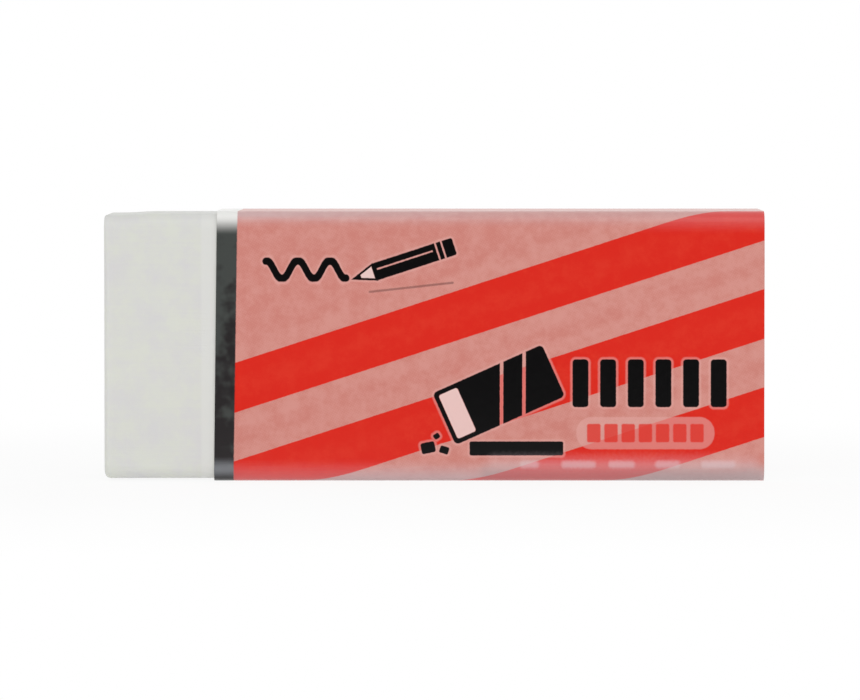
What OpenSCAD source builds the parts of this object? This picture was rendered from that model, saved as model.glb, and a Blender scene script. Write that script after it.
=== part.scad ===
// Block eraser in a folded card sleeve.
// The eraser stands on a long narrow side. +X runs from the bare working end to the sleeved end,
// +Y from the front panel to the seamed back panel, and +Z up. The origin is at the middle of the base.

/* [Block] */
// Length of the moulded block
block_l = 42.6; // [30:0.1:70]
// Thickness of the block, front to back
block_t = 11.1; // [8:0.1:18]
// Height of the block, standing on its narrow side
block_h = 17.28; // [12:0.01:28]
// Radius of the block's four long edges
long_edge_r = 1; // [0.5:0.05:3]
// Radius of the edges round the block's two ends
end_edge_r = 0.4; // [0.1:0.05:0.45]

/* [Sleeve] */
// Length of block left bare at the working end
bare_l = 7.25; // [0:0.05:20]
// How far the sleeve reaches past the block's back end
back_overhang = 0.4; // [0:0.05:3]
// Thickness of the card
card_t = 0.14; // [0.1:0.01:0.4]
// Clearance between block and card, on each side
slide_gap = 0.02; // [0.01:0.01:0.2]
// How much tighter a crease bends than the block's long edge
crease_ease = 0.1; // [0:0.01:0.3]
// Width of the glue flap under the back panel
flap_w = 6; // [2:0.1:8]
// Distance from the crease of the flap down to the back panel's free edge
seam_setback = 0.3; // [0:0.05:1.5]

/* [Hidden] */
$fn = 96;

// The card wraps the block: one layer at the front, top and bottom, and two at the back, over the flap.
wrap = card_t + slide_gap;
outer_t = block_t + 2 * wrap + card_t;
outer_h = block_h + 2 * wrap;
crease_r = long_edge_r + slide_gap - crease_ease + card_t;
sleeve_l = block_l - bare_l + back_overhang;
total_l = block_l + back_overhang;

working_end_x = -total_l / 2;
mouth_x = working_end_x + bare_l;
front_y = -outer_t / 2;
back_y = outer_t / 2;

// Flat widths of the strip's panels between creases, in the order in which the strip is folded.
flap_flat = flap_w;
top_flat = outer_t - card_t - 2 * crease_r;
front_flat = outer_h - 2 * crease_r;
bottom_flat = outer_t - 2 * crease_r;
back_flat = outer_h - 2 * crease_r - seam_setback;
STRIP = [flap_flat, top_flat, front_flat, bottom_flat, back_flat];

// A rectangle on the middle of the axes, with four round corners.
module rounded_rect(w, h, r) {
    square([w - 2 * r, h], center = true);
    square([w, h - 2 * r], center = true);
    for (x = [-1, 1], y = [-1, 1])
        translate([x * (w / 2 - r), y * (h / 2 - r)])
            circle(r);
}

// A round bar along X whose two ends are rounded off, as each long edge of the block is.
module edge_bar(l, r, end_r) {
    rotate([0, 90, 0])
        rotate_extrude()
            intersection() {
                rounded_rect(2 * r, l, end_r);
                translate([0, -l / 2])
                    square([r, l]);
            }
}

// The moulded block: four edge bars joined by two crossing slabs with rounded ends.
module eraser_block() {
    mid_z = wrap + block_h / 2;
    mid_y = front_y + wrap + block_t / 2;
    color("whitesmoke")
        translate([working_end_x + block_l / 2, mid_y, mid_z]) {
            for (y = [-1, 1], z = [-1, 1])
                translate([0, y * (block_t / 2 - long_edge_r), z * (block_h / 2 - long_edge_r)])
                    edge_bar(block_l, long_edge_r, end_edge_r);
            rotate([90, 0, 0])
                linear_extrude(block_t - 2 * long_edge_r, center = true)
                    rounded_rect(block_l, block_h, end_edge_r);
            linear_extrude(block_h - 2 * long_edge_r, center = true)
                rounded_rect(block_l, block_t, end_edge_r);
        }
}

// A quarter-turn crease of outer radius crease_r, bending left from a strip that arrives along +X.
module crease() {
    intersection() {
        difference() {
            circle(crease_r);
            circle(crease_r - card_t);
        }
        translate([0, -crease_r])
            square(crease_r);
    }
}

// The section of the strip from panel i on: a flat panel, a crease, and the rest of the strip turned left.
module folded_strip(panels, i = 0) {
    square([panels[i], card_t]);
    if (i + 1 < len(panels))
        translate([panels[i], crease_r]) {
            crease();
            rotate(90)
                translate([0, -crease_r])
                    folded_strip(panels, i + 1);
        }
}

// The card sleeve: the strip starts with the glue flap, goes round the block and laps over the flap.
module card_sleeve() {
    flap_start_z = outer_h - crease_r - flap_flat;
    color("crimson")
        translate([mouth_x, 0, 0])
            rotate([90, 0, 90])
                linear_extrude(sleeve_l)
                    translate([back_y - card_t, flap_start_z])
                        rotate(90)
                            folded_strip(STRIP);
}

eraser_block();
card_sleeve();
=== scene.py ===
import math

import bpy
import numpy as np
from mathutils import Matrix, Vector


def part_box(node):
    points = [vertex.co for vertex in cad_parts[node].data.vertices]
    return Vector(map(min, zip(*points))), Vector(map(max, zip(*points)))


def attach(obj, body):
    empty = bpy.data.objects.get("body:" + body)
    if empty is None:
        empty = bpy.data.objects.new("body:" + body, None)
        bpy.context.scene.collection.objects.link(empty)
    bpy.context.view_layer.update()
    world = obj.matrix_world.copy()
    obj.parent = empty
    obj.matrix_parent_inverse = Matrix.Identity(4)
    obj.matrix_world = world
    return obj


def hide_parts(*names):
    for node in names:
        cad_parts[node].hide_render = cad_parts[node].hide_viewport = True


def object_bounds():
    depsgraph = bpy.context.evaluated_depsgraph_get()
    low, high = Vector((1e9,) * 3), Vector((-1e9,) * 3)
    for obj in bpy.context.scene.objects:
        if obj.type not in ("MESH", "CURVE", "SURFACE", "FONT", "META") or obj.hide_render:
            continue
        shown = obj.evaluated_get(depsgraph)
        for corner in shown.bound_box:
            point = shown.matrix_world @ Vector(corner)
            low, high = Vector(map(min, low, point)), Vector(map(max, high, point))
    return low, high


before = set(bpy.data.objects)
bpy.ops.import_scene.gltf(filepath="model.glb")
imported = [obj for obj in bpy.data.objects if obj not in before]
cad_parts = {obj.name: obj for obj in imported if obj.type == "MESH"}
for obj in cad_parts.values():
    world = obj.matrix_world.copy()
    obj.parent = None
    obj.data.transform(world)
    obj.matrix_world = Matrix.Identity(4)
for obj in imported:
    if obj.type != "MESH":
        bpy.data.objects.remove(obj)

bl_info = {
    "name": "Sleeved eraser",
    "version": (1, 0, 0),
    "blender": (4, 5, 0),
    "location": "3D View > Sidebar > Eraser",
    "description": "Builds a vinyl eraser block in its folded and printed card sleeve, with a studio stage",
    "category": "Object",
}

MM = 0.001
CAD_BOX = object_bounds()
BLOCK_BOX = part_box("eraser_block")
SLEEVE_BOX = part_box("card_sleeve")
MOUTH = SLEEVE_BOX[0][0]
BLANK_ATTRIBUTE = "blank"
QUARTER_TURN = math.pi / 2

# Steps of the block's mesh: along a flat side, round a long edge, over an end edge, on an end face,
# along the bare end and along the covered rest.
FLAT_STEPS = 28
CORNER_STEPS = 10
END_EDGE_STEPS = 8
END_FACE_RINGS = 24
BARE_STEPS = 47
COVERED_STEPS = 59

# Shape of the used block.
TOP_SHARPNESS = 0.55         # share by which the end edges' radius falls towards the top
DISH_START = 3 * MM          # distance from an end over which the dish sets in
DISH_SHOULDER = (0.6, 0.9)   # shares of the half width between which a face's dish counts
END_SKIN = 0.1 * MM          # depth to which the hollow of an end face reaches
WORN_SPAN = (0.6 * MM, 3.4 * MM)
WORN_TOP = (0.55, 1.0)       # shares of the half height between which the top edge is worn

# Steps of the sleeve's mesh: along the folded line, round a crease, over a cut edge, beside the
# two ends and along the rest of the sleeve.
PANEL_STEP = 0.35 * MM
CREASE_STEPS = 20
CUT_EDGE_STEPS = 3
SLEEVE_END_POINTS = 8
SLEEVE_SIDE_POINTS = 84

# Shape of the handled card.
FREE_EDGE_ZONE = 0.875 * MM  # length at the sleeve's ends where the free edges' corners are cut back
SKEW_REACH = 4 * MM          # length over which the mouth's skew fades out
WAVE_ALONG = (9.1, 1.3)      # the waviness along the sleeve: turn over its length, and start
WAVE_ACROSS = 2.3 * MM       # the waviness across the panels: length of one radian
WAVE_ACROSS_START = 0.4
CALM_EDGE = 3 * MM           # distance from a free edge over which the waviness sets in

# Shares by which a colour shifts in the clouds of a finish, for red, green and blue.
VINYL_COOL = (0.98, 0.965, 1.01)
VINYL_WARM = (1.015, 1.025, 0.985)
VINYL_CLEAN = (1.045, 1.04, 1.06)
BOARD_SHADE = 0.93
TINT_DEEP = (0.945, 0.855, 0.84)
TINT_THIN = (1.035, 1.13, 1.145)
RED_DEEP = (0.98, 0.75, 0.75)
RED_THIN = (1.01, 1.25, 1.25)
BAND_DEEP = (0.55, 0.46, 0.5)
BAND_THIN = (1.42, 1.52, 1.47)
CLOUD_EDGES = (0.3, 0.7)     # values of a cloud between which its two colours blend

# Fixed colours of the print, its wear, the pale specks and painted highlights along its creases and the
# grey on its lower front crease, as screen colours in 0 to 255 steps.
BARE_WHITE = (240, 239, 235)
PALE_FILL = (233, 205, 200)
# Pale tone of the dashes and the strip along the lower crease.
PALE_SPECK_TONE = (228, 208, 213)
# Crease bloom: partly crease wear, partly painted highlight and painted reflection, and on the lower
# creases painted light in their shade.
CREASE_WEAR_AND_HIGHLIGHT = (198, 204, 211)
# Grey that darkens the right half of the lower front crease.
LOWER_CREASE_GREY = (138, 142, 144)
# Painted highlight along the upper front crease.
PAINTED_HIGHLIGHT_TONE = (206, 207, 213)

# Stage: what the camera looks at beside and above the middle of the base, and the lamps, as name,
# place, what they point at, size across and power in watts.
SENSOR_WIDTH = 36.0
LOOK_AT_X = -0.277 * MM
LOOK_AT_Z = 8.567 * MM
FLOOR_SHIFT = 80 * MM
FLOOR_STEPS = 96
MIDDLE = (CAD_BOX[0] + CAD_BOX[1]) / 2
LAMPS = (
    ("key", (-0.28, -0.36, 0.1), MIDDLE, 0.28, 0.38),
    ("overhead", (0.02, -0.26, 0.38), (0.0, -0.04, 0.0), 0.28, 0.32),
    ("low", (0.27, -0.34, 0.06), MIDDLE, 0.22, 0.24),
    ("rear", (0.24, 0.36, 0.2), MIDDLE, 0.28, 0.32),
)


# ---------------------------------------------------------------------------------------------
# Colours
# ---------------------------------------------------------------------------------------------

def linear(red, green, blue):
    """A screen colour in 0 to 255 steps as linear light, by the usual screen curve."""
    steps = np.array([red, green, blue]) / 255.0
    light = np.where(steps <= 0.04045, steps / 12.92, ((steps + 0.055) / 1.055) ** 2.4)
    return tuple(float(value) for value in light)


def opaque(colour):
    """A three-part colour with full cover added, as colour sockets take it."""
    return (*tuple(colour)[:3], 1.0)


# ---------------------------------------------------------------------------------------------
# Settings
# ---------------------------------------------------------------------------------------------

def length(name, description, default_mm):
    """A length setting that is given in millimetres and kept in metres."""
    return bpy.props.FloatProperty(name=name, description=description, default=default_mm * MM,
                                   min=0.0, unit="LENGTH", precision=5)


def colour(name, description, default):
    """A colour setting whose default is a screen colour in 0 to 255 steps."""
    return bpy.props.FloatVectorProperty(name=name, description=description, subtype="COLOR", size=3,
                                         min=0.0, max=1.0, default=linear(*default))


class BlockSettings(bpy.types.PropertyGroup):
    """Shape and colour of the vinyl block."""
    long_edge: length("Long edge radius", "Radius of the block's four long edges", 1.0)
    end_edge: length("End edge radius", "Radius of the edges round the block's two ends", 0.4)
    dish: length("Dish", "How far the middles of the long faces have shrunk in", 0.03)
    worn: length("Worn corner", "How far the top edge is rubbed down at the working end", 0.1)
    vinyl: colour("Vinyl", "Colour of the vinyl", (215, 216, 211))


class SleeveSettings(bpy.types.PropertyGroup):
    """Shape of the card sleeve, and the colour of its bare card."""
    card: length("Card", "Thickness of the card", 0.14)
    crease: length("Crease radius", "Outer radius of the card at its creases", 1.06)
    flap: length("Glue flap", "Width of the glue flap under the back panel", 6.0)
    setback: length("Seam setback", "Distance from the flap's crease to the back panel's free edge", 0.3)
    edge: length("Cut edge radius", "Radius to which the card's cut edges are softened", 0.02)
    wave: length("Waviness", "How far the panels dip between their creases", 0.008)
    skew: length("Mouth skew", "How much further in the mouth is cut at the top than at the middle", 0.1)
    board: colour("Board", "Colour of the bare card", (236, 233, 226))


class PrintSettings(bpy.types.PropertyGroup):
    """Colours and sizes of what is printed on the sleeve."""
    red: colour("Stripes", "Colour of the slanting stripes", (220, 43, 27))
    tint: colour("Tint", "Colour of the ground between the stripes", (209, 139, 129))
    band: colour("Band", "Colour of the band at the sleeve's mouth", (57, 58, 57))
    ink: colour("Black", "Colour of the dark marks", (7, 6, 7))
    pale: colour("Pale", "Colour of the pale marks", (226, 172, 165))
    band_width: length("Band width", "Width of the band at the mouth", 1.31)
    band_lean: bpy.props.FloatProperty(
        name="Band lean", description="Lean of the band's edge, as length over height", default=0.0155)
    stripe_width: length("Stripe width", "Upright height of a stripe", 3.25)
    stripe_pitch: length("Stripe pitch", "Upright distance from one stripe to the next", 6.4)
    stripe_top: length("Stripe top", "Height of the first stripe's top edge at the middle", 11.95)
    stripe_rise: bpy.props.FloatProperty(
        name="Stripe rise", description="Rise of the stripes along the sleeve, as height over length",
        default=0.3255)


class StageSettings(bpy.types.PropertyGroup):
    """Floor, light and camera."""
    floor: length("Floor", "Radius of the floor", 160.0)
    view_width: length("View width", "Width of what the camera sees at the front panel", 55.986)
    lens: bpy.props.FloatProperty(name="Lens", description="Focal length of the camera", default=300.0,
                                  subtype="DISTANCE_CAMERA")
    raised: bpy.props.FloatProperty(name="Raised", description="Angle of the camera above the horizon",
                                    default=math.radians(2.1), subtype="ANGLE")
    ambient: bpy.props.FloatProperty(name="Ambient", description="Level of the light from all round",
                                     default=0.64)
    room: bpy.props.FloatProperty(name="Room", description="Level of the room as the gloss mirrors it",
                                  default=0.06)


SETTINGS = {"eraser_block": BlockSettings, "eraser_sleeve": SleeveSettings,
            "eraser_print": PrintSettings, "eraser_stage": StageSettings}


# ---------------------------------------------------------------------------------------------
# Meshes
# ---------------------------------------------------------------------------------------------

def smoothstep(value, start, end):
    """0 before start and 1 after end, with 3t^2 - 2t^3 between them."""
    t = np.clip((value - start) / (end - start), 0.0, 1.0)
    return t * t * (3.0 - 2.0 * t)


def ring_faces(rows, columns):
    """Quads of a tube of rows rings, each of columns points, whose last point joins its first."""
    row, column = np.meshgrid(np.arange(rows - 1), np.arange(columns), indexing="ij")
    after = (column + 1) % columns
    quads = (row * columns + column, row * columns + after,
             (row + 1) * columns + after, (row + 1) * columns + column)
    return np.stack(quads, axis=-1).reshape(-1, 4)


def new_piece(name, points, faces, materials):
    """An object at the origin from points in metres and lists of faces, shaded smooth."""
    mesh = bpy.data.meshes.new(name)
    mesh.from_pydata(points, [], [face.tolist() for group in faces for face in group])
    for material in materials:
        mesh.materials.append(material)
    mesh.polygons.foreach_set("use_smooth", np.ones(len(mesh.polygons), dtype=bool))
    mesh.update()
    piece = bpy.data.objects.new(name, mesh)
    bpy.context.scene.collection.objects.link(piece)
    return piece


def rounded_section(half_y, half_z, radius):
    """Points and outward normals round a rectangle with round corners, anticlockwise from +Y.
    Each corner is its centre plus the radius times (cos a, sin a), and each flat side is cut
    into equal steps between two corners."""
    sides = np.array([(1, 1), (-1, 1), (-1, -1), (1, -1)])
    centres = sides * [half_y - radius, half_z - radius]
    share = np.linspace(0, 1, FLAT_STEPS + 1)[1:-1, None]
    points, normals = [], []
    for quarter, centre in enumerate(centres):
        angle = QUARTER_TURN * (quarter + np.linspace(0, 1, CORNER_STEPS + 1))
        outward = np.stack([np.cos(angle), np.sin(angle)], axis=1)
        corner = centre + radius * outward
        towards = centres[(quarter + 1) % len(centres)] - centre
        points += [corner, corner[-1] + share * towards]
        normals += [outward, np.repeat(outward[-1:], len(share), axis=0)]
    return np.concatenate(points), np.concatenate(normals)


def block_rings(settings, section, outward, half_z, span):
    """Points of the block's rings, from x = 0 to the span, as rows of points round the section.
    Over each end edge the section is set in by r (1 - sin a) while x runs on by r (1 - cos a), and
    on the end faces it shrinks towards a pole. The radius r falls towards the top of the block,
    where the knife left a sharper edge."""
    turn = np.linspace(0, QUARTER_TURN, END_EDGE_STEPS + 1)
    shrink = np.linspace(0, 1, END_FACE_RINGS + 2)[1:-1]
    knee = MOUTH - BLOCK_BOX[0][0] + MM
    sides = np.concatenate([np.linspace(settings.end_edge, knee, BARE_STEPS + 1)[1:],
                            np.linspace(knee, span - settings.end_edge, COVERED_STEPS + 1)[1:-1]])
    on_face, on_side = np.zeros(len(shrink)), np.zeros(len(sides))
    start = np.concatenate([on_face, np.zeros(len(turn)), sides, np.full(len(turn), span),
                            on_face + span])
    advance = np.concatenate([on_face, 1 - np.cos(turn), on_side, np.cos(turn[::-1]) - 1, on_face])
    inset = np.concatenate([on_face + 1, 1 - np.sin(turn), on_side, 1 - np.sin(turn[::-1]), on_face + 1])
    scale = np.concatenate([shrink, np.ones(len(turn) * 2 + len(sides)), shrink[::-1]])
    radius = settings.end_edge * (1 - TOP_SHARPNESS * smoothstep(section[:, 1] / half_z, 0.5, 1.0))
    flat = section[None] - (inset[:, None] * radius[None])[..., None] * outward[None]
    flat = flat * scale[:, None, None]
    x = start[:, None] + advance[:, None] * radius[None]
    return np.stack([x, flat[..., 0], flat[..., 1]], axis=-1)


def wear_block(points, half, span, settings):
    """Shrinks and wears the block's points in place.
    Each long face dips by dish (1 - u^2)^2 across its width, and each end face by the product of
    both bowls. The top edge falls by a smooth step towards the working end."""
    across = points[:, 1:] / half
    bowl = (1 - np.clip(across, -1, 1) ** 2) ** 2
    ends = smoothstep(points[:, 0], 0, DISH_START) * smoothstep(span - points[:, 0], 0, DISH_START)
    dip = bowl[:, ::-1] * (settings.dish * ends)[:, None]
    points[:, 1:] -= np.sign(across) * smoothstep(abs(across), *DISH_SHOULDER) * dip
    hollow = bowl[:, 0] * bowl[:, 1] * settings.dish
    points[:, 0] += hollow * (1 - smoothstep(points[:, 0], 0, END_SKIN))
    points[:, 0] -= hollow * (1 - smoothstep(span - points[:, 0], 0, END_SKIN))
    rubbed = 1 - smoothstep(points[:, 0], *WORN_SPAN)
    points[:, 2] -= settings.worn * rubbed * smoothstep(across[:, 1], *WORN_TOP)


def block_mesh(settings):
    """Points and faces of the vinyl block: its rings, closed at both ends by a fan round a pole."""
    low, high = np.array(BLOCK_BOX[0]), np.array(BLOCK_BOX[1])
    middle, half = (low + high) / 2, (high - low) / 2
    span = high[0] - low[0]
    section, outward = rounded_section(half[1], half[2], settings.long_edge)
    rings = block_rings(settings, section, outward, half[2], span)
    rows, columns = rings.shape[:2]
    poles = np.array([[0, 0, 0], [span, 0, 0]], dtype=float)
    points = np.concatenate([rings.reshape(-1, 3), poles])
    wear_block(points, half[1:], span, settings)
    points += [low[0], middle[1], middle[2]]

    column = np.arange(columns)
    after = (column + 1) % columns
    last = (rows - 1) * columns
    first_fan = np.stack([after, column, np.full(columns, rows * columns)], axis=1)
    last_fan = np.stack([last + column, last + after, np.full(columns, rows * columns + 1)], axis=1)
    return points, [ring_faces(rows, columns), first_fan, last_fan]


def folded_line(settings):
    """Points, outward normals, blank coordinate and crease share along the card's outer line.
    The line starts at the glue flap's free edge, which lies one card thickness inside the back
    panel. It runs straight up each panel and round each crease, where it is the crease's centre
    plus the radius times (cos a, sin a). The blank coordinate is the length along the line,
    counted so that it equals the height on the front panel. The crease share is the sine of the
    way round a crease, and 0 on the panels."""
    (_, front, base), (_, back, crown) = SLEEVE_BOX
    radius, inner = settings.crease, back - settings.card
    near, far = front + radius, back - radius
    top, bottom = crown - radius, base + radius
    creases = np.array([(inner - radius, top), (near, top), (near, bottom), (far, bottom)])
    goals = np.array([(inner, top), (near, crown), (front, bottom), (far, base),
                      (back, top - settings.setback)])
    way = np.linspace(0, 1, CREASE_STEPS + 1)
    here = np.array((inner, top - settings.flap))
    points, normals, share = [], [], []
    for panel, goal in enumerate(goals):
        reach = np.linalg.norm(goal - here)
        heading = (goal - here) / reach
        steps = max(2, int(round(reach / PANEL_STEP)))
        points.append(here + np.linspace(0, 1, steps + 1)[:, None] * (goal - here))
        normals.append(np.repeat([[heading[1], -heading[0]]], steps + 1, axis=0))
        share.append(np.zeros(steps + 1))
        if panel < len(creases):
            angle = QUARTER_TURN * (panel + way)
            outward = np.stack([np.cos(angle), np.sin(angle)], axis=1)
            arc = creases[panel] + radius * outward
            points.append(arc[1:-1])
            normals.append(outward[1:-1])
            share.append(np.sin(math.pi * way[1:-1]))
            here = arc[-1]
    points, normals, share = np.concatenate(points), np.concatenate(normals), np.concatenate(share)
    steps = np.concatenate([[0.0], np.linalg.norm(np.diff(points, axis=0), axis=1)])
    run = np.cumsum(steps)
    on_front = np.argmax((normals[:, 0] < -0.999) & (share == 0))
    blank = points[on_front, 1] - (run - run[on_front])
    return points, normals, blank, share


def card_profile(settings):
    """The card's long thin section along X: x, depth below its outer face, and a printed flag.
    The outer half runs from the mouth to the far end, over corners of the cut edge radius, and
    the inner half is the same line run back one card thickness lower."""
    start, end = SLEEVE_BOX[0][0], SLEEVE_BOX[1][0]
    edge = settings.edge
    turn = np.linspace(0, QUARTER_TURN, CUT_EDGE_STEPS + 1)
    flat = np.concatenate([np.linspace(start + edge, start + MM, SLEEVE_END_POINTS)[1:],
                           np.linspace(start + MM, end - MM, SLEEVE_SIDE_POINTS)[1:-1],
                           np.linspace(end - MM, end - edge, SLEEVE_END_POINTS)[:-1]])
    x = np.concatenate([start + edge * (1 - np.sin(turn[::-1])), flat, end - edge * (1 - np.sin(turn))])
    depth = np.concatenate([edge * (1 - np.cos(turn[::-1])), np.zeros(len(flat)),
                            edge * (1 - np.cos(turn))])
    printed = np.arange(2 * len(x)) < len(x)
    return np.concatenate([x, x[::-1]]), np.concatenate([depth, (settings.card - depth)[::-1]]), printed


def sleeve_mesh(settings):
    """Points, faces, printed flags and blank coordinates of the card sleeve.
    The card's thin section is carried along the folded line: each point is the line's point less
    its depth along the outward normal. At the two free edges the section closes over a small
    radius and ends in a flat cap. A slow wave, a product of sines, lets the panels dip inwards,
    and the mouth leans by a share of the height above the middle."""
    line, normals, blank, share = folded_line(settings)
    x, depth, printed = card_profile(settings)
    edge = settings.edge
    turn = np.linspace(0, QUARTER_TURN, CUT_EDGE_STEPS + 1)[1:]
    heading = np.stack([-normals[:, 1], normals[:, 0]], axis=1)
    before = line[0] + heading[0] * (edge * (1 - np.sin(turn[::-1])))[:, None]
    beyond = line[-1] - heading[-1] * (edge * (1 - np.sin(turn)))[:, None]
    line[0] = line[0] + heading[0] * edge
    line[-1] = line[-1] - heading[-1] * edge
    close = np.concatenate([edge * (1 - np.cos(turn[::-1])), np.zeros(len(line)),
                            edge * (1 - np.cos(turn))])
    line = np.concatenate([before, line, beyond])
    pad = len(turn)
    normals = np.pad(normals, ((pad, pad), (0, 0)), mode="edge")
    blank = np.pad(blank, pad, mode="edge")
    share = np.pad(share, pad, mode="edge")

    low, high = np.array(SLEEVE_BOX[0]), np.array(SLEEVE_BOX[1])
    size, centre = high - low, (low + high) / 2
    half = len(x) // 2
    pinch = np.where(np.arange(len(x)) < half, 1.0, -1.0)
    at_ends = np.sign(centre[0] - x) * (np.abs(x - centre[0]) > size[0] / 2 - FREE_EDGE_ZONE)
    x_here = x[None] + close[:, None] * at_ends[None]
    lean = (line[:, None, 1] - centre[2]) / size[2] * 2
    x_here = x_here + settings.skew * lean * (1 - smoothstep(x_here, low[0], low[0] + SKEW_REACH))

    along = np.clip((x - low[0]) / size[0], 0, 1)[None]
    swell_along = np.sin(WAVE_ALONG[0] * along + WAVE_ALONG[1])
    swell_across = np.sin(blank[:, None] / WAVE_ACROSS + WAVE_ACROSS_START)
    to_edge = np.minimum(np.abs(blank - blank[0]), np.abs(blank - blank[-1]))[:, None]
    dip = settings.wave * (0.5 - 0.5 * swell_along * swell_across)
    dip = dip * (1 - share[:, None]) * np.clip(to_edge / CALM_EDGE, 0, 1)
    down = depth[None] + close[:, None] * pinch[None] + dip
    y = line[:, None, 0] - normals[:, None, 0] * down
    z = line[:, None, 1] - normals[:, None, 1] * down
    points = np.stack([x_here, y, z], axis=-1)

    rows, columns = points.shape[:2]
    tube = ring_faces(rows, columns)[:, ::-1]
    column = np.arange(half - 1)
    first_cap = np.stack([column, column + 1, columns - 2 - column, columns - 1 - column], axis=1)
    last_cap = (rows - 1) * columns + first_cap[:, ::-1]
    row = np.arange(rows - 1)
    on_panel = (row >= pad) & (row < rows - 1 - pad)
    on_print = np.repeat(on_panel, columns) & np.tile(printed & np.roll(printed, -1), rows - 1)
    on_print = np.concatenate([on_print, np.zeros(2 * len(first_cap), dtype=bool)])
    coordinate = np.stack([x_here / MM, np.repeat(blank[:, None] / MM, columns, axis=1),
                           np.repeat(share[:, None], columns, axis=1)], axis=-1)
    return points.reshape(-1, 3), [tube, first_cap, last_cap], on_print, coordinate.reshape(-1, 3)


# ---------------------------------------------------------------------------------------------
# Node arithmetic
# ---------------------------------------------------------------------------------------------

class Field:
    """A value that varies over a surface, kept as a node socket, so that a pattern is arithmetic."""

    def __init__(self, tree, socket):
        self.tree = tree
        self.socket = socket

    def math(self, operation, *others):
        """An operation of the Math node on this field and the others."""
        return add_node(self.tree, "ShaderNodeMath", (self, *others), operation=operation)

    def __add__(self, other):
        return self.math("ADD", other)

    def __sub__(self, other):
        return self.math("SUBTRACT", other)

    def __mul__(self, other):
        return self.math("MULTIPLY", other)

    def __neg__(self):
        return self.math("MULTIPLY", -1.0)

    def low(self, other):
        """The lesser of two values, which joins two shapes into one."""
        return self.math("MINIMUM", other)

    def high(self, other):
        """The greater of two values, which leaves what two shapes share."""
        return self.math("MAXIMUM", other)

    def size(self):
        """The value without its sign."""
        return self.math("ABSOLUTE")

    def vector(self, operation, *others, out=0):
        """An operation of the Vector Math node, whose second output is its plain number."""
        return add_node(self.tree, "ShaderNodeVectorMath", (self, *others), out=out, operation=operation)


def add_node(tree, kind, values=(), out=0, **settings):
    """A node whose sockets take values in order, which may be fields, numbers, vectors or None."""
    node = tree.nodes.new(kind)
    for key, value in settings.items():
        setattr(node, key, value)
    slots = values.items() if isinstance(values, dict) else enumerate(values)
    for slot, value in slots:
        if isinstance(value, Field):
            tree.links.new(value.socket, node.inputs[slot])
        elif value is not None:
            node.inputs[slot].default_value = value
    return Field(tree, node.outputs[out])


def fade(field, start, end, low=0.0, high=1.0):
    """low before start and high after end, on a smooth curve between them."""
    return add_node(field.tree, "ShaderNodeMapRange", {0: field, 1: start, 2: end, 3: low, 4: high},
                    interpolation_type="SMOOTHSTEP")


def inside(distance, softness):
    """1 where a distance to a shape is negative and 0 outside it, over an edge of that softness."""
    return fade(distance, softness / 2, -softness / 2)


def blend_colours(factor, first, second):
    """first where the factor is 0 and second where it is 1."""
    return add_node(factor.tree, "ShaderNodeMix", {0: factor, 6: first, 7: second}, out=2,
                    data_type="RGBA")


def clouded(cloud, base, first, second):
    """A colour in clouds: base times first where the cloud is low, and times second where high."""
    base = np.array(base)
    return blend_colours(fade(cloud, *CLOUD_EDGES), opaque(base * first), opaque(base * second))


def noise(point, scale, detail=2.0, roughness=0.5, stretch=None):
    """A cloudy field from 0 to 1 with scale cycles a unit of the point's coordinates."""
    if stretch is not None:
        point = point.vector("MULTIPLY", stretch)
    return add_node(point.tree, "ShaderNodeTexNoise",
                    {"Vector": point, "Scale": scale, "Detail": detail, "Roughness": roughness})


def parts(point):
    """The three parts of a vector field."""
    split = add_node(point.tree, "ShaderNodeSeparateXYZ", (point,)).socket.node
    return [Field(point.tree, socket) for socket in split.outputs]


def vector_of(first, second):
    """A vector field from two fields, with nothing as its third part."""
    return add_node(first.tree, "ShaderNodeCombineXYZ", (first, second))


def in_millimetres(tree):
    """The place on the piece in millimetres."""
    return add_node(tree, "ShaderNodeTexCoord", out=3).vector("MULTIPLY", (1 / MM, 1 / MM, 1 / MM))


def new_material(name, **finish):
    """A material with a principled shader, whose constant sockets are set from finish."""
    material = bpy.data.materials.new(name)
    material.use_nodes = True
    shader = material.node_tree.nodes["Principled BSDF"]
    for socket, value in finish.items():
        shader.inputs[socket.replace("_", " ")].default_value = value
    return material, material.node_tree, shader


def connect(tree, shader, **fields):
    """Links fields to the shader's sockets of those names."""
    for socket, field in fields.items():
        tree.links.new(field.socket, shader.inputs[socket.replace("_", " ")])


def raise_surface(height, depth):
    """A bumped normal from a height field, where a height of 1 stands depth metres proud."""
    return add_node(height.tree, "ShaderNodeBump", {"Strength": 1.0, "Distance": depth, "Height": height})


# ---------------------------------------------------------------------------------------------
# Flat shapes, as distances that are negative inside the shape
# ---------------------------------------------------------------------------------------------

def at(start, turn, reach):
    """The point that lies reach from the start in a direction turned from +X."""
    return start[0] + reach * math.cos(turn), start[1] + reach * math.sin(turn)


def turned(point, centre, turn):
    """The place along and across a direction that is turned from +X, counted from a centre."""
    return add_node(point.tree, "ShaderNodeVectorRotate",
                    {"Vector": point.vector("SUBTRACT", (*centre, 0.0)), "Angle": -turn},
                    rotation_type="Z_AXIS")


def rounded(corner, radius):
    """Distance to a rounded corner, from a vector of the two distances past its core: the length of
    what lies beyond the core, or the nearer side inside it, less the radius."""
    outer = corner.vector("MAXIMUM", (0.0, 0.0, 0.0)).vector("LENGTH", out=1)
    first, second = parts(corner)[:2]
    return outer + first.high(second).low(0.0) - radius


def box_distance(point, centre, half, radius, turn=0.0):
    """Distance to a rounded box, whose core is the box without its radius."""
    local = turned(point, centre, turn)
    core = (half[0] - radius, half[1] - radius, 0.0)
    return rounded(local.vector("ABSOLUTE").vector("SUBTRACT", core), radius)


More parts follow.
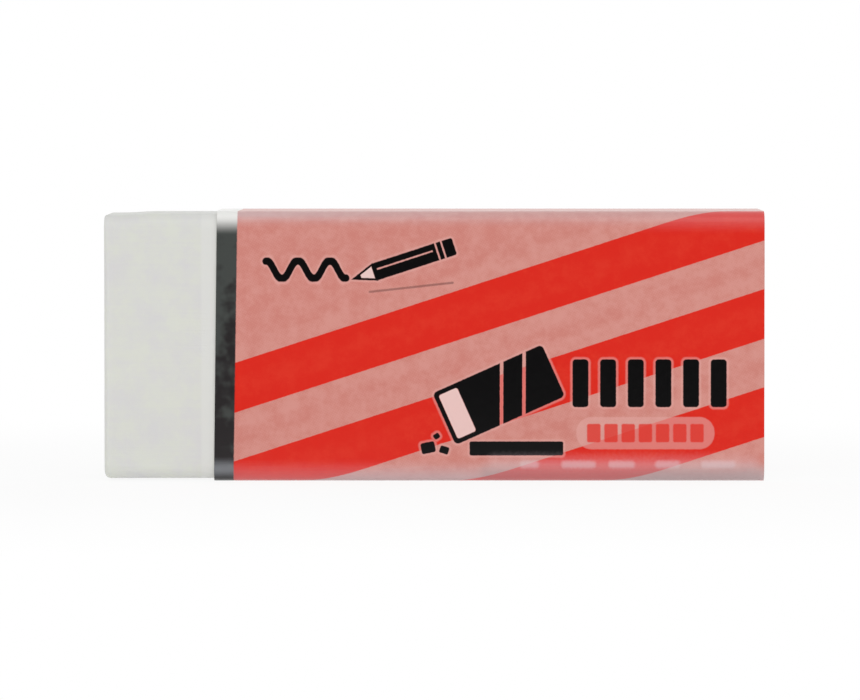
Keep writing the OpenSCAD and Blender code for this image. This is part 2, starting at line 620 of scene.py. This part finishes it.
def row_distance(point, centre, count, pitch, half, radius):
    """Distance to a row of like rounded boxes along X: one box, repeated at the pitch by a modulo.
    Past the ends of the row the distance to the whole row counts."""
    x, v = parts(point)[:2]
    beat = (x - (centre[0] - count * pitch / 2)).math("FLOORED_MODULO", pitch) - pitch / 2
    corner = vector_of(beat.size() - (half[0] - radius), (v - centre[1]).size() - (half[1] - radius))
    reach = (count - 1) * pitch / 2 + half[0]
    return rounded(corner, radius).high((x - centre[0]).size() - reach)


def stroke_distance(point, start, end, radius):
    """Distance to a straight stroke with round ends: from the nearest point of its middle line."""
    run = np.array(end, dtype=float) - np.array(start, dtype=float)
    offset = point.vector("SUBTRACT", (*start, 0.0))
    share = offset.vector("DOT_PRODUCT", (*run, 0.0), out=1)
    share = add_node(point.tree, "ShaderNodeMath", (share, 1.0 / float(run @ run)), operation="MULTIPLY",
                     use_clamp=True)
    nearest = add_node(point.tree, "ShaderNodeVectorMath", {0: (*run, 0.0), 3: share}, operation="SCALE")
    return offset.vector("SUBTRACT", nearest).vector("LENGTH", out=1) - radius


def wave_distance(point, start, run, waves, swing, radius):
    """Distance to a cosine line with round ends, from a crest at the start to its last turn.
    It is the upright distance to start + swing cos(rate x), over the root of 1 plus slope squared."""
    rate = 2 * math.pi * waves / run
    x, v = parts(point)[:2]
    turn = (x - start[0]) * rate
    slope = turn.math("SINE") * (swing * rate)
    line = (v - turn.math("COSINE") * swing - start[1]).size()
    line = line * (slope * slope + 1.0).math("INVERSE_SQRT") - radius
    line = line.high((x - (start[0] + run / 2)).size() - run / 2)
    for end in (0.0, run):
        height = start[1] + swing * math.cos(rate * end)
        line = line.low(box_distance(point, (start[0] + end, height), (radius, radius), radius))
    return line


def stripe_distance(point, settings):
    """Upright distance to the slanting stripes.
    The slant is v less the rise times x, and a modulo at the pitch repeats the stripe below the
    first one's top edge."""
    x, v = parts(point)[:2]
    top, pitch = settings.stripe_top / MM, settings.stripe_pitch / MM
    half = settings.stripe_width / MM / 2
    slant = v - x * settings.stripe_rise
    phase = (-slant + top).math("FLOORED_MODULO", pitch)
    stripe = ((phase - half).size() - half).low((phase - (half + pitch)).size() - half)
    return stripe.high(slant - top)


def pencil_marks(point, slope):
    """Distances to a pencil with its wavy line, to the pencil's wood, and to a thin rule below.
    The pencil lies along the stripes. It is a box and a wedge, less its wood, the light on one
    facet and the two lines of its ferrule."""
    tip = (-5.4, 13.15)
    wedge, wedge_length = 0.37, 1.65
    wood_edge, wood_middle, wood_half = 0.15, 1.08, 0.42
    body = box_distance(point, at(tip, slope, 4.3), half=(2.75, 0.58), radius=0.15, turn=slope)
    along, across = parts(turned(point, tip, slope))[:2]
    cone = (across.size() - along * wedge).high(along - wedge_length)
    wood = (across.size() + wood_edge - along * wedge).high((along - wood_middle).size() - wood_half)
    facet = ((across - 0.13).size() - 0.05).high((along - 3.7).size() - 1.9)
    ferrule = ((along - 6.1).size() - 0.2).size() - 0.055
    pencil = body.low(cone).high(-wood).high(-facet).high(-ferrule)
    wave = wave_distance(point, start=(-10.95, 13.8), run=5.2, waves=2.5, swing=0.55, radius=0.24)
    rule = stroke_distance(point, (-4.2, 12.35), (1.2, 12.95), 0.07)
    return pencil.low(wave), wood, rule


def eraser_marks(point):
    """Distances to an eraser that rubs out a thick line among its crumbs, and to its bare rubber.
    The eraser is a leaning box, less its rubber end and two slanting gaps across its sleeve."""
    centre = (4.2, 5.65)
    lean = 0.42
    slab = box_distance(point, centre, half=(3.9, 1.85), radius=0.3, turn=lean)
    rubber = box_distance(point, at(centre, lean, -2.95), half=(0.66, 1.55), radius=0.16, turn=lean)
    along, across = parts(turned(point, centre, lean))[:2]
    gap = ((along - across * 0.45 - 1.0).size() - 0.8).size() - 0.12
    marks = slab.high(-rubber).high(-gap)
    marks = marks.low(box_distance(point, (5.35, 2.15), half=(3.05, 0.46), radius=0.12))
    for crumb, half, radius, turn in (((-0.4, 2.2), (0.46, 0.36), 0.14, 0.2),
                                      ((0.65, 2.05), (0.3, 0.24), 0.1, -0.3),
                                      ((0.15, 2.95), (0.2, 0.18), 0.1, 0.6)):
        marks = marks.low(box_distance(point, crumb, half, radius, turn))
    return marks, rubber


# ---------------------------------------------------------------------------------------------
# Materials
# ---------------------------------------------------------------------------------------------

def dot_screen(point, pitch, turn):
    """The round dots of a printer's screen: half of 1 plus sine across times sine along."""
    along, across = parts(turned(point, (0.0, 0.0), turn))[:2]
    first = (along * (2 * math.pi / pitch)).math("SINE")
    second = (across * (2 * math.pi / pitch)).math("SINE")
    return first * second * 0.5 + 0.5


def vinyl_material(settings):
    """Opaque white vinyl: a satin skin drawn along its length, and dull knife-cut ends.
    The skin has a cloud of two whites, faint lines along X and a fine grain. On the cut ends the
    lines run up and down instead, where the knife went through. The vinyl is cleaner where the
    sleeve covers it and just in front of the mouth."""
    material, tree, shader = new_material("satin_vinyl", Specular_IOR_Level=0.35, Subsurface_Weight=0.12,
                                          Subsurface_Scale=0.0006)
    shader.inputs["Subsurface Radius"].default_value = (1.0, 0.9, 0.8)
    place = in_millimetres(tree)
    x = parts(place)[0]
    start, end = BLOCK_BOX[0][0] / MM, BLOCK_BOX[1][0] / MM
    off_cut, on_cut = 0.3, 0.12
    cut = fade(x, start + off_cut, start + on_cut).high(fade(x, end - off_cut, end - on_cut))
    cloud = noise(place, scale=0.5, detail=4.0, roughness=0.7)
    grain = noise(place, scale=7.0, detail=4.0, roughness=0.65)
    drawn = noise(place, scale=1.0, detail=3.0, roughness=0.6, stretch=(0.05, 5.0, 5.0))
    knife = noise(place, scale=1.0, detail=3.0, roughness=0.6, stretch=(1.0, 6.0, 0.25))
    lines = drawn + (knife - drawn) * cut
    tone = clouded(cloud + (lines - 0.5) * 0.25, settings.vinyl, VINYL_WARM, VINYL_COOL)
    soiled, spared = MOUTH / MM - 1.05, MOUTH / MM - 0.8
    covered = fade(x, soiled, spared) * fade(x, end, end - 1.0)
    clean = opaque(np.array(settings.vinyl) * VINYL_CLEAN)
    connect(tree, shader, Base_Color=blend_colours(covered * 0.85, tone, clean),
            Roughness=fade(grain + cut * 0.5, 0.2, 1.2, 0.36, 0.7),
            Normal=raise_surface(grain * 0.4 + lines * 0.6, 0.024 * MM))
    return material


def board_material(settings):
    """Bare card at the cut edges and inside: off-white, matt, with short fibres."""
    material, tree, shader = new_material("bare_card", Specular_IOR_Level=0.2)
    fibres = noise(in_millimetres(tree), scale=6.0, detail=5.0, roughness=0.7, stretch=(0.4, 1.0, 1.0))
    connect(tree, shader, Base_Color=clouded(fibres, settings.board, BOARD_SHADE, 1.0),
            Roughness=fade(fibres, 0.2, 0.8, 0.75, 0.92), Normal=raise_surface(fibres, 0.008 * MM))
    return material


def stripes_on_ground(point, stripe, on_stripe, settings):
    """Colour of the red stripes on their tinted ground.
    The ground is a cloudy tint with a dot screen, paler beside a stripe. The red is cloudy too,
    and fuller towards a stripe's edges."""
    mottle = noise(point, scale=0.9, detail=4.0, roughness=0.75)
    dots = dot_screen(point, pitch=0.19, turn=0.26) - 0.5
    ground = clouded(mottle + dots * 0.16 + fade(stripe, 1.35, 0.8) * 0.09 - 0.03, settings.tint,
                     TINT_DEEP, TINT_THIN)
    red = clouded(mottle - fade(stripe, -1.3, -0.5) * 0.14, settings.red, RED_DEEP, RED_THIN)
    return blend_colours(on_stripe, ground, red)


def mouth_band(point, crown, fold, settings):
    """Colour of the band round the mouth: charcoal, lighter towards the top of the front panel,
    which gives way to bare white card over the upper crease."""
    v = parts(point)[1]
    # A cloud plus a share of the height, so that the charcoal turns lighter towards the top of the front
    # panel.
    worn = noise(point, scale=0.8, detail=2.0) + (v - crown / 2) * 0.028
    charcoal = np.array(settings.band)
    tone = blend_colours(fade(worn, 0.34, 0.66), opaque(charcoal * BAND_DEEP), opaque(charcoal * BAND_THIN))
    return blend_colours(fade(v, fold - 0.5, fold + 0.95), tone, opaque(linear(*BARE_WHITE)))


def row_of_specks(point, ragged):
    """Cover of the small pale dashes along the lower crease, which lie in a paler strip."""
    level, half_height, radius = 1.1, 0.24, 0.2
    first, *others = ((6.2, 0.6), (9.4, 1.1), (12.2, 0.85), (15.2, 0.8), (18.5, 1.1))
    specks = box_distance(point, (first[0], level), (first[1], half_height), radius)
    for x, half in others:
        specks = specks.low(box_distance(point, (x, level), (half, half_height), radius))
    pale_strip = box_distance(point, (12.3, level), half=(8.6, 0.35), radius=0.3) + ragged * 6.0
    return inside(specks + ragged * 2.0, 0.3) * 0.3 + inside(pale_strip, 1.3) * 0.26


def print_marks(shade, point, ragged, settings):
    """Prints the generic marks over a colour: first a pale keyline round the dark ones, then each
    mark in turn. All have slightly ragged edges."""
    pencil, wood, rule = pencil_marks(point, math.atan(settings.stripe_rise))
    eraser, rubber = eraser_marks(point)
    bars = row_distance(point, centre=(14.02, 6.4), count=6, pitch=1.8, half=(0.52, 1.56), radius=0.22)
    label = (13.75, 3.15)
    lozenge = box_distance(point, label, half=(4.5, 1.05), radius=1.0)
    dashes = row_distance(point, label, count=7, pitch=1.12, half=(0.44, 0.6), radius=0.12)
    dark = pencil.low(eraser).low(bars)
    fill = inside(rubber + ragged, 0.08).high(inside(wood + ragged, 0.06))
    specks = row_of_specks(point, ragged)
    for cover, ink in ((inside(dark - 0.14 + ragged, 0.14) * 0.4, settings.pale),
                       (fill * 0.9, linear(*PALE_FILL)),
                       (inside(rule + ragged, 0.08) * 0.45, settings.ink),
                       (inside(lozenge + ragged, 0.1) * 0.45, settings.pale),
                       (inside(dashes + ragged, 0.1) * 0.85, settings.red),
                       (inside(dark + ragged, 0.06), settings.ink),
                       (specks, linear(*PALE_SPECK_TONE))):
        shade = blend_colours(cover, shade, opaque(ink))
    return shade


def by_ground(striped, on_band, plain, stripe, band):
    """A strength with one value on the plain ground, one on a stripe and one on the band."""
    return striped * (stripe - plain) + on_band * (band - plain) + plain


def paint_crease_wear_and_light(shade, point, on_stripe, on_band, cracks, sleeve):
    """Wears a print along the four creases, where the gloss face is stretched and rubbed, and paints
    light on them. Each rub fades out with the distance from a crease's middle, roughened by the
    cracks: a dull bloom on all four, partly rub and partly painted highlight, which on the lower
    creases also paints light into their shade; a grey that darkens the lower front one; and a
    painted highlight towards the mouth on the upper front one."""
    x, v = parts(point)[:2]
    radius = sleeve.crease / MM
    thickness, crown = ((SLEEVE_BOX[1][part] - SLEEVE_BOX[0][part]) / MM for part in (1, 2))
    arc = QUARTER_TURN * radius
    upper, lower = crown - radius + arc / 2, radius - arc / 2
    step = thickness - 2 * radius + arc
    rough = (cracks - 0.5) * 0.4
    off_band = -on_band + 1.0
    striped = on_stripe.low(off_band)

    # Upper bloom: crease wear mixed with a painted highlight where the upper creases would catch the light.
    high_wear_and_highlight = (v - (upper + 0.25)).size().low((v - (upper + step)).size())
    high_wear_and_highlight = fade(high_wear_and_highlight + rough - striped * 0.35, 1.2, 0.1)
    high_wear_and_highlight = high_wear_and_highlight * by_ground(striped, on_band, plain=0.22, stripe=0.1, band=0.12)
    # Lower bloom: crease wear mixed with a painted reflection, which also paints light into the shade of
    # the downward-facing lower creases.
    low_wear_and_light = (v - (lower - 0.2) - on_band * 0.77).size() * (on_band * 0.75 + 1.0)
    low_wear_and_light = fade(low_wear_and_light.low((v - (lower - step)).size()) + rough, 1.5, 0.0)
    low_wear_and_light = low_wear_and_light * by_ground(striped, on_band, plain=0.46, stripe=0.17, band=0.29)
    # A grey patch that darkens the right half of the lower front crease.
    lower_crease_grey = box_distance(point, (12.3, 0.3), half=(9.2, 0.6), radius=0.3) + rough
    # Painted highlight along the upper front crease, growing towards the mouth and kept off the band.
    painted_highlight = fade((v - (upper + 0.2)).size() + rough, 0.7, 0.05) * fade(x, 6.0, -16.0, 0.0, 0.26)
    for cover, tone in ((high_wear_and_highlight.high(low_wear_and_light), CREASE_WEAR_AND_HIGHLIGHT),
                        (inside(lower_crease_grey, 1.0) * 0.3, LOWER_CREASE_GREY),
                        (painted_highlight * off_band, PAINTED_HIGHLIGHT_TONE)):
        shade = blend_colours(cover, shade, opaque(linear(*tone)))
    return shade


def print_material(sleeve, settings):
    """The sleeve's gloss-faced print, drawn on the flat blank in millimetres.
    x runs along the sleeve, and v is the height on the front panel, which runs on round the
    creases. The face has the peel of a gloss coat, and its creases are finely cracked."""
    material, tree, shader = new_material("gloss_print", Specular_IOR_Level=0.12, Coat_Weight=0.4,
                                          Coat_Roughness=0.16, Coat_IOR=1.4)
    blank = add_node(tree, "ShaderNodeAttribute", out=1, attribute_name=BLANK_ATTRIBUTE)
    x, v, crease = parts(blank)
    point = blank.vector("MULTIPLY", (1.0, 1.0, 0.0))
    crown = (SLEEVE_BOX[1][2] - SLEEVE_BOX[0][2]) / MM
    ragged = (noise(point, scale=5.0, detail=2.0) - 0.5) * 0.05
    cracks = noise(point, scale=2.6, detail=4.0, roughness=0.7, stretch=(0.2, 3.4, 1.0))

    stripe = stripe_distance(point, settings)
    on_stripe = inside(stripe + ragged, 0.07)
    band = x - (v - crown / 2) * settings.band_lean - (MOUTH + settings.band_width) / MM
    on_band = inside(band + ragged, 0.08)
    shade = stripes_on_ground(point, stripe, on_stripe, settings)
    shade = blend_colours(on_band, shade, mouth_band(point, crown, crown - sleeve.crease / MM, settings))
    shade = print_marks(shade, point, ragged, settings)
    shade = paint_crease_wear_and_light(shade, point, on_stripe, on_band, cracks, sleeve)

    peel = noise(point, scale=2.4, detail=3.0)
    swell = noise(point, scale=0.22, detail=1.0)
    relief = swell + peel * 0.08 + cracks * crease * 0.15
    connect(tree, shader, Base_Color=shade, Roughness=fade(peel, 0.2, 0.8, 0.3, 0.4),
            Normal=raise_surface(relief, 0.03 * MM))
    return material


# ---------------------------------------------------------------------------------------------
# Stage
# ---------------------------------------------------------------------------------------------

def ray_kinds(tree):
    """1 for rays that show the background in full, and 1 for glossy rays."""
    outputs = tree.nodes.new("ShaderNodeLightPath").outputs
    camera = Field(tree, outputs["Is Camera Ray"])
    through = Field(tree, outputs["Is Transmission Ray"])
    return camera.high(through), Field(tree, outputs["Is Glossy Ray"])


def floor_material(room):
    """A white floor that keeps the object's soft shadow.
    Where it is seen it is mostly plain white, and wholly so further out, and the rest is matt white
    that takes the shadow. Glossy rays see it white near the object and behind it, and at the
    room's level in front. For the light that it throws back up onto the object, a share of it glows
    white, a glow that is no lamp and brightens the object's shaded underside."""
    matt_white = (0.95, 0.95, 0.95, 1.0)
    white = (1.0, 1.0, 1.0, 1.0)
    # The second share is the part of the floor that glows white, no lamp, for the light it throws back onto
    # the object.
    plain_share, underside_glow_share = 0.87, 0.35
    dim_from, white_from = -60 * MM, -10 * MM
    shadow_reach, plain_from = 30 * MM, 90 * MM
    material = bpy.data.materials.new("white_floor")
    material.use_nodes = True
    tree = material.node_tree
    tree.nodes.clear()
    matt = add_node(tree, "ShaderNodeBsdfDiffuse", {"Color": matt_white})
    place = add_node(tree, "ShaderNodeTexCoord", out=3)
    direct, glossy = ray_kinds(tree)
    diffuse = -(direct + glossy) + 1.0
    mirrored = glossy * fade(parts(place)[1], dim_from, white_from, room, 1.0)
    glow = add_node(tree, "ShaderNodeEmission",
                    {"Color": white, "Strength": direct.high(mirrored).high(diffuse)})
    share = direct * fade(place.vector("LENGTH", out=1), shadow_reach, plain_from, plain_share, 1.0)
    share = share.high(glossy).high(diffuse * underside_glow_share)
    mixed = add_node(tree, "ShaderNodeMixShader", (share, matt, glow))
    output = tree.nodes.new("ShaderNodeOutputMaterial")
    tree.links.new(mixed.socket, output.inputs["Surface"])
    return material


def make_world(level, room):
    """White all round where it is seen, and an even light on the object.
    Glossy rays see the white backdrop behind the object and the dimmer room in front of it."""
    world = bpy.data.worlds.new("studio")
    world.use_nodes = True
    tree = world.node_tree
    background = tree.nodes["Background"]
    background.inputs["Color"].default_value = (1.0, 1.0, 1.0, 1.0)
    direction = add_node(tree, "ShaderNodeTexCoord", out=0)
    dim_from, white_from = -0.8, -0.1
    direct, glossy = ray_kinds(tree)
    mirrored = glossy * (fade(parts(direction)[1], dim_from, white_from, room, 1.0) - level) + level
    strength = direct.high(mirrored)
    tree.links.new(strength.socket, background.inputs["Strength"])
    bpy.context.scene.world = world


def aim(thing, place, target):
    """Puts a camera or lamp at a place and points its -Z axis at the target."""
    thing.location = place
    thing.rotation_euler = (Vector(target) - Vector(place)).to_track_quat("-Z", "Y").to_euler()
    bpy.context.scene.collection.objects.link(thing)


def add_lamp(name, place, target, size, power):
    """A square soft lamp."""
    lamp = bpy.data.lights.new(name, "AREA")
    lamp.shape = "SQUARE"
    lamp.size = size
    lamp.energy = power
    aim(bpy.data.objects.new(name, lamp), place, target)


def add_camera(settings):
    """The camera, which sees the view width at the front panel from the raised angle.
    Its distance is the view width times the focal length over the sensor's width."""
    camera = bpy.data.cameras.new("camera")
    camera.lens = settings.lens
    camera.sensor_width = SENSOR_WIDTH
    camera.clip_start = 0.01
    distance = settings.view_width / SENSOR_WIDTH * settings.lens
    target = Vector((LOOK_AT_X, CAD_BOX[0][1], LOOK_AT_Z))
    offset = Vector((0.0, -math.cos(settings.raised), math.sin(settings.raised))) * distance
    holder = bpy.data.objects.new("camera", camera)
    aim(holder, target + offset, target)
    return holder


# ---------------------------------------------------------------------------------------------
# Operators
# ---------------------------------------------------------------------------------------------

class ERASER_OT_block(bpy.types.Operator):
    """Make the vinyl block"""
    bl_idname = "eraser.block"
    bl_label = "Vinyl block"

    def execute(self, context):
        settings = context.scene.eraser_block
        points, faces = block_mesh(settings)
        piece = new_piece("vinyl_block", points, faces, [vinyl_material(settings)])
        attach(piece, "block")
        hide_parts("eraser_block")
        return {"FINISHED"}


class ERASER_OT_sleeve(bpy.types.Operator):
    """Make the folded and printed card sleeve"""
    bl_idname = "eraser.sleeve"
    bl_label = "Card sleeve"

    def execute(self, context):
        settings = context.scene.eraser_sleeve
        points, faces, printed, blank = sleeve_mesh(settings)
        materials = [board_material(settings), print_material(settings, context.scene.eraser_print)]
        piece = new_piece("printed_sleeve", points, faces, materials)
        piece.data.polygons.foreach_set("material_index", printed.astype(np.int32))
        attribute = piece.data.attributes.new(BLANK_ATTRIBUTE, "FLOAT_VECTOR", "POINT")
        attribute.data.foreach_set("vector", blank.astype(np.float32).ravel())
        piece.data.update()
        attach(piece, "sleeve")
        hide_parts("card_sleeve")
        return {"FINISHED"}


class ERASER_OT_stage(bpy.types.Operator):
    """Make the floor, the lamps and the camera"""
    bl_idname = "eraser.stage"
    bl_label = "Stage"

    def execute(self, context):
        settings = context.scene.eraser_stage
        angle = np.linspace(0, 2 * math.pi, FLOOR_STEPS + 1)[:-1]
        rim = np.stack([np.cos(angle), np.sin(angle), np.zeros(FLOOR_STEPS)], axis=1) * settings.floor
        rim += [0.0, FLOOR_SHIFT, CAD_BOX[0][2]]
        floor = new_piece("floor", rim, [np.arange(FLOOR_STEPS)[None]], [floor_material(settings.room)])
        make_world(settings.ambient, settings.room)
        for lamp in LAMPS:
            add_lamp(*lamp)
        context.scene.camera = add_camera(settings)
        context.scene.view_settings.view_transform = "Standard"
        return {"FINISHED"}


class ERASER_PT_build(bpy.types.Panel):
    """Lists the pieces of the eraser and their settings"""
    bl_idname = "ERASER_PT_build"
    bl_label = "Sleeved eraser"
    bl_space_type = "VIEW_3D"
    bl_region_type = "UI"
    bl_category = "Eraser"

    def draw(self, context):
        for operator in OPERATORS:
            self.layout.operator(operator.bl_idname)
        for name, group in SETTINGS.items():
            box = self.layout.box()
            box.label(text=group.__doc__)
            for key in group.__annotations__:
                box.prop(getattr(context.scene, name), key)


OPERATORS = (ERASER_OT_block, ERASER_OT_sleeve, ERASER_OT_stage)


def register():
    """Registers the settings, the operators and the panel."""
    for name, group in SETTINGS.items():
        bpy.utils.register_class(group)
        setattr(bpy.types.Scene, name, bpy.props.PointerProperty(type=group))
    for item in (*OPERATORS, ERASER_PT_build):
        bpy.utils.register_class(item)


def unregister():
    """Takes back what register has registered."""
    for item in (*OPERATORS, ERASER_PT_build):
        bpy.utils.unregister_class(item)
    for name, group in SETTINGS.items():
        delattr(bpy.types.Scene, name)
        bpy.utils.unregister_class(group)


def main():
    """Makes the pieces and the stage."""
    register()
    bpy.ops.eraser.block()
    bpy.ops.eraser.sleeve()
    bpy.ops.eraser.stage()
    bpy.context.view_layer.update()


if __name__ == "__main__":
    main()
